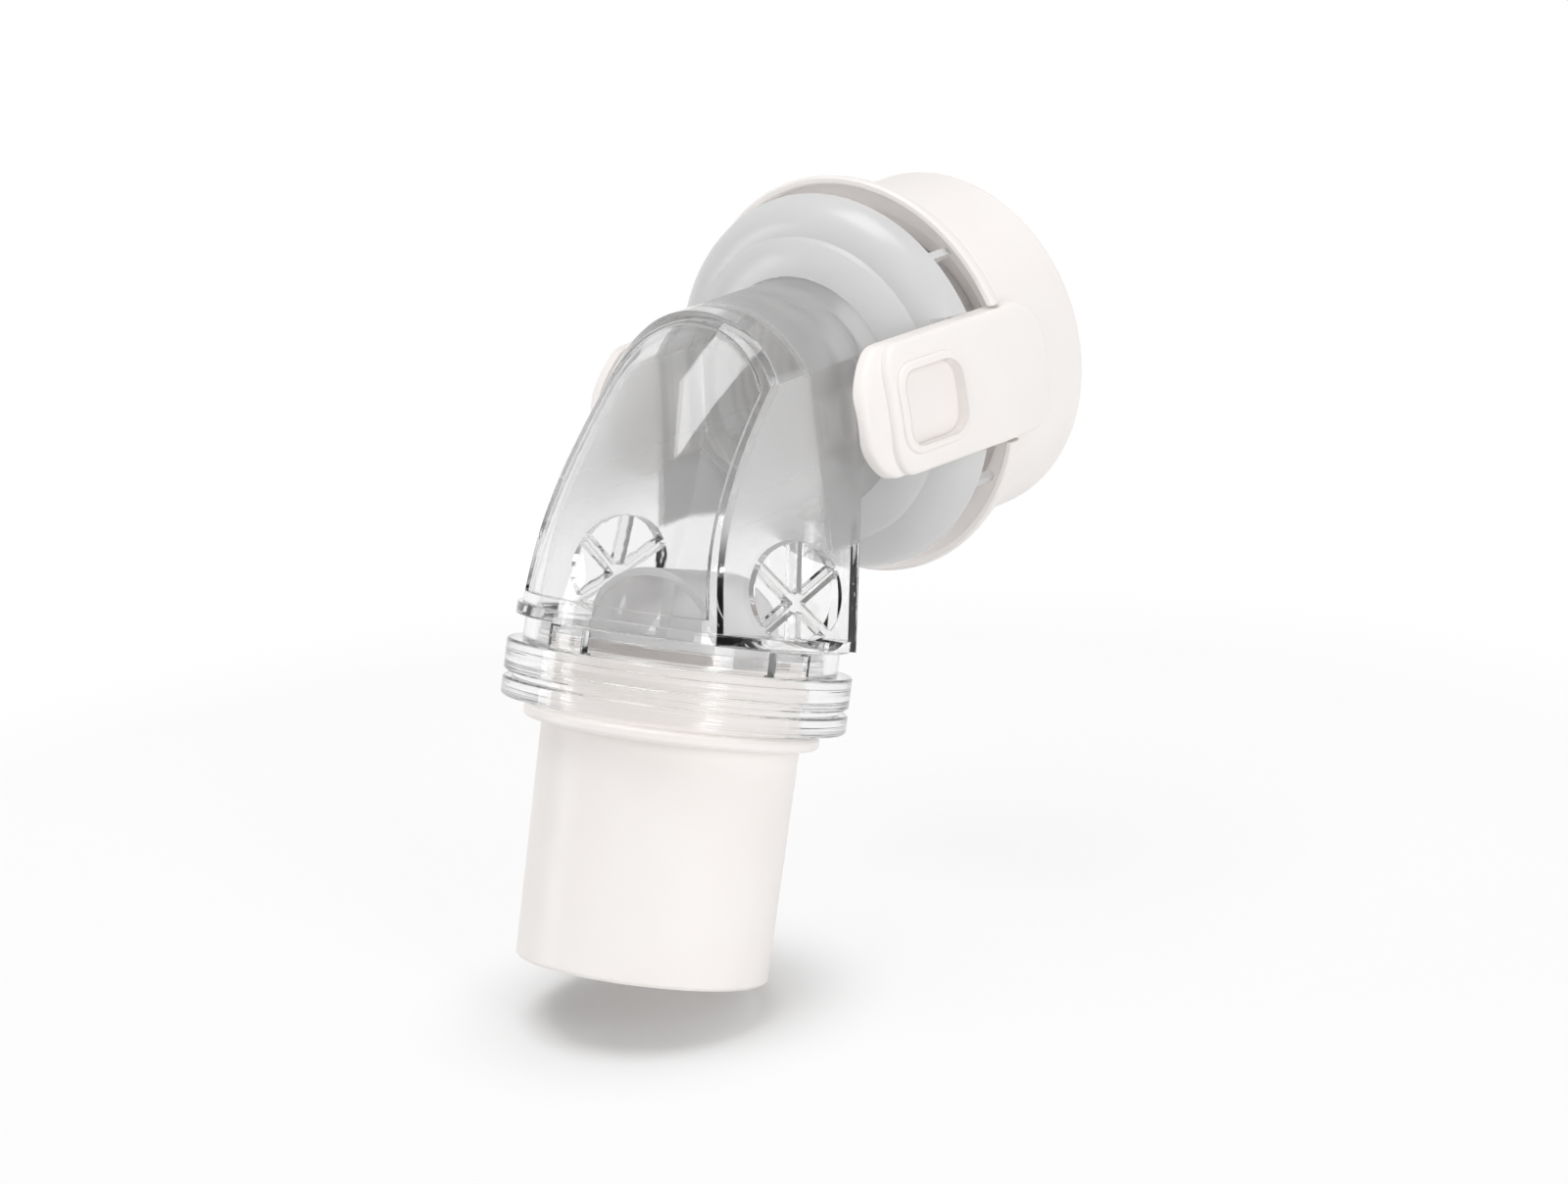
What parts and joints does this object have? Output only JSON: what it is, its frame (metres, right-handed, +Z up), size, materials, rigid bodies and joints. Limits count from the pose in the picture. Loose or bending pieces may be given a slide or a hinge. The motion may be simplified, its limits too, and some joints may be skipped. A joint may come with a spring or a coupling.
{
  "type": "cpap mask elbow",
  "caption": "Clear breathing-mask elbow with a white swivel tube for the hose, a vented clip ring with squeeze arms, and spoked side inlets over a valve.",
  "frame": {"origin": "centre of the socket mouth at the back of the clip ring, where the mask's port goes in", "axes": "+Y along the socket's axis towards the mask, +Z up, the hose tube pointing down and 18 degrees forward towards -Y"},
  "size_m": [0.0358, 0.0572, 0.0648],
  "materials": {
    "clear_shell": "clear gloss polycarbonate",
    "valve_silicone": "soft satin silicone",
    "white_plastic": "satin moulded plastic, warm white",
    "grey_cover": "frosted satin plastic",
    "diffuser_fabric": "fine grey mesh"
  },
  "bodies": {
    "elbow": {"elbow_body": "clear_shell", "base_ring": "clear_shell", "valve_membrane": "valve_silicone", "clip_ring": "white_plastic", "vent_cover": "grey_cover", "vent_diffuser": "diffuser_fabric"},
    "hose_swivel": {"swivel_tube": "white_plastic"},
    "right_arm": {"release_arm_right": "white_plastic"},
    "left_arm": {"release_arm_left": "white_plastic"}
  },
  "joints": [
    {"name": "hose_turn", "type": "hinge", "parent": "elbow", "child": "hose_swivel", "pos_m": [0, -0.0328, 0], "axis": [0, -0.309, -0.9511], "continuous": true},
    {"name": "right_arm_squeeze", "type": "hinge", "parent": "elbow", "child": "right_arm", "pos_m": [0.01412, -0.0104, 0.00148], "axis": [0.1045, 0, -0.9945], "range_deg": [0, 4], "stiffness_Nm_per_rad": 0.6},
    {"name": "left_arm_squeeze", "type": "hinge", "parent": "elbow", "child": "left_arm", "pos_m": [-0.01412, -0.0104, -0.00148], "axis": [-0.1045, 0, 0.9945], "range_deg": [0, 4], "stiffness_Nm_per_rad": 0.6}
  ]
}
